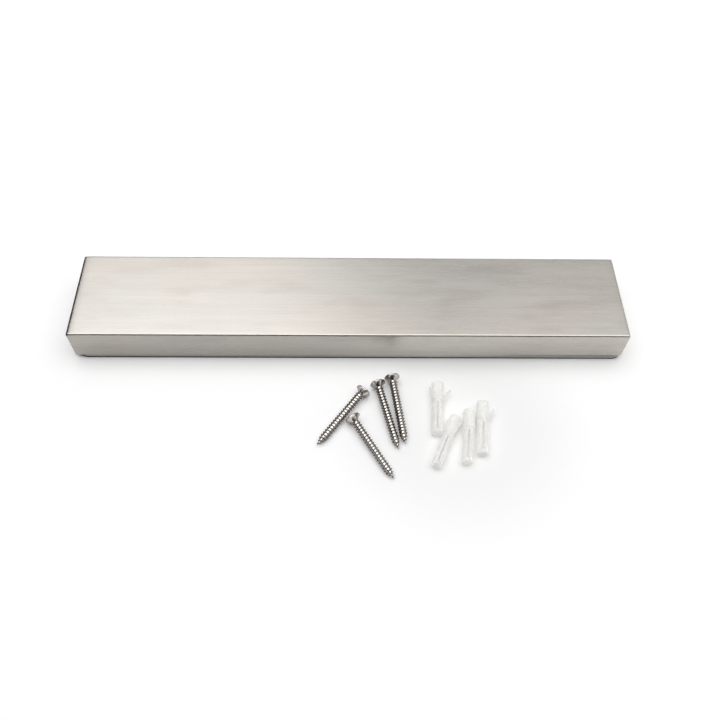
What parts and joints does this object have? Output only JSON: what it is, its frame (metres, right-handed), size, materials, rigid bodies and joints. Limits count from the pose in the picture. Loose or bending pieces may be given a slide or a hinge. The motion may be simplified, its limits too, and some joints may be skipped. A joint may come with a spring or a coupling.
{
  "type": "magnetic knife rack",
  "caption": "Long brushed-steel box with a magnetic front face for holding knives, on a screw-fixed wall plate that the cover lifts off, with loose wall screws and wall plugs.",
  "frame": {"origin": "centre of the wall plate's back face, which is also the surface that the loose screws and plugs lie on", "axes": "+X along the rack, +Y up when the rack hangs on a wall, +Z from the wall to the knife face"},
  "size_m": [0.3512, 0.1498, 0.025],
  "materials": {
    "brushed_stainless": "satin",
    "plate_steel": "satin",
    "zinc_steel": "satin",
    "rivet_aluminium": "satin",
    "spacer_aluminium": "satin",
    "ferrite": "matte",
    "black_plastic": "matte",
    "foam_tape": "matte",
    "nickel_steel": "satin",
    "small_screw_steel": "satin",
    "screw_steel": "gloss",
    "plug_nylon": "satin"
  },
  "bodies": {
    "wall_plate": {"wall_plate": "plate_steel", "lug_lower_left": "zinc_steel", "lug_lower_right": "zinc_steel", "lug_upper_left": "zinc_steel", "lug_upper_right": "zinc_steel", "lug_end_left": "zinc_steel", "lug_end_right": "zinc_steel", "lug_rivets": "rivet_aluminium"},
    "cover": {"cover": "brushed_stainless", "magnet_carrier": "black_plastic", "yoke_plate": "zinc_steel", "yoke_screws": "small_screw_steel", "tape_lower": "foam_tape", "tape_middle": "foam_tape", "tape_upper": "foam_tape", "magnet_lower_1": "ferrite", "magnet_lower_2": "ferrite", "magnet_lower_3": "ferrite", "magnet_lower_4": "ferrite", "magnet_lower_5": "ferrite", "magnet_lower_6": "ferrite", "magnet_lower_7": "ferrite", "magnet_upper_1": "ferrite", "magnet_upper_2": "ferrite", "magnet_upper_3": "ferrite", "magnet_upper_4": "ferrite", "magnet_upper_5": "ferrite", "magnet_upper_6": "ferrite", "magnet_upper_7": "ferrite", "retainer_cup_1": "nickel_steel", "retainer_cup_2": "nickel_steel", "retainer_cup_3": "nickel_steel", "retainer_cup_4": "nickel_steel", "retainer_ring_1": "ferrite", "retainer_ring_2": "ferrite", "retainer_ring_3": "ferrite", "retainer_ring_4": "ferrite", "retainer_spacer_1": "spacer_aluminium", "retainer_spacer_2": "spacer_aluminium", "retainer_spacer_3": "spacer_aluminium", "retainer_spacer_4": "spacer_aluminium", "retainer_screws": "small_screw_steel"},
    "wall_screw_1": {"wall_screw_1": "screw_steel"},
    "wall_screw_2": {"wall_screw_2": "screw_steel"},
    "wall_screw_3": {"wall_screw_3": "screw_steel"},
    "wall_screw_4": {"wall_screw_4": "screw_steel"},
    "wall_plug_1": {"wall_plug_1": "plug_nylon"},
    "wall_plug_2": {"wall_plug_2": "plug_nylon"},
    "wall_plug_3": {"wall_plug_3": "plug_nylon"},
    "wall_plug_4": {"wall_plug_4": "plug_nylon"}
  },
  "joints": [
    {"name": "cover_lift", "type": "slide", "parent": "wall_plate", "child": "cover", "axis": [0, 0, 1], "range_m": [0, 0.06]},
    {"name": "wall_screw_1_lift", "type": "slide", "parent": "wall_plate", "child": "wall_screw_1", "axis": [0, 0, 1], "range_m": [0, 0.05]},
    {"name": "wall_screw_2_lift", "type": "slide", "parent": "wall_plate", "child": "wall_screw_2", "axis": [0, 0, 1], "range_m": [0, 0.05]},
    {"name": "wall_screw_3_lift", "type": "slide", "parent": "wall_plate", "child": "wall_screw_3", "axis": [0, 0, 1], "range_m": [0, 0.05]},
    {"name": "wall_screw_4_lift", "type": "slide", "parent": "wall_plate", "child": "wall_screw_4", "axis": [0, 0, 1], "range_m": [0, 0.05]},
    {"name": "wall_plug_1_lift", "type": "slide", "parent": "wall_plate", "child": "wall_plug_1", "axis": [0, 0, 1], "range_m": [0, 0.05]},
    {"name": "wall_plug_2_lift", "type": "slide", "parent": "wall_plate", "child": "wall_plug_2", "axis": [0, 0, 1], "range_m": [0, 0.05]},
    {"name": "wall_plug_3_lift", "type": "slide", "parent": "wall_plate", "child": "wall_plug_3", "axis": [0, 0, 1], "range_m": [0, 0.05]},
    {"name": "wall_plug_4_lift", "type": "slide", "parent": "wall_plate", "child": "wall_plug_4", "axis": [0, 0, 1], "range_m": [0, 0.05]}
  ]
}
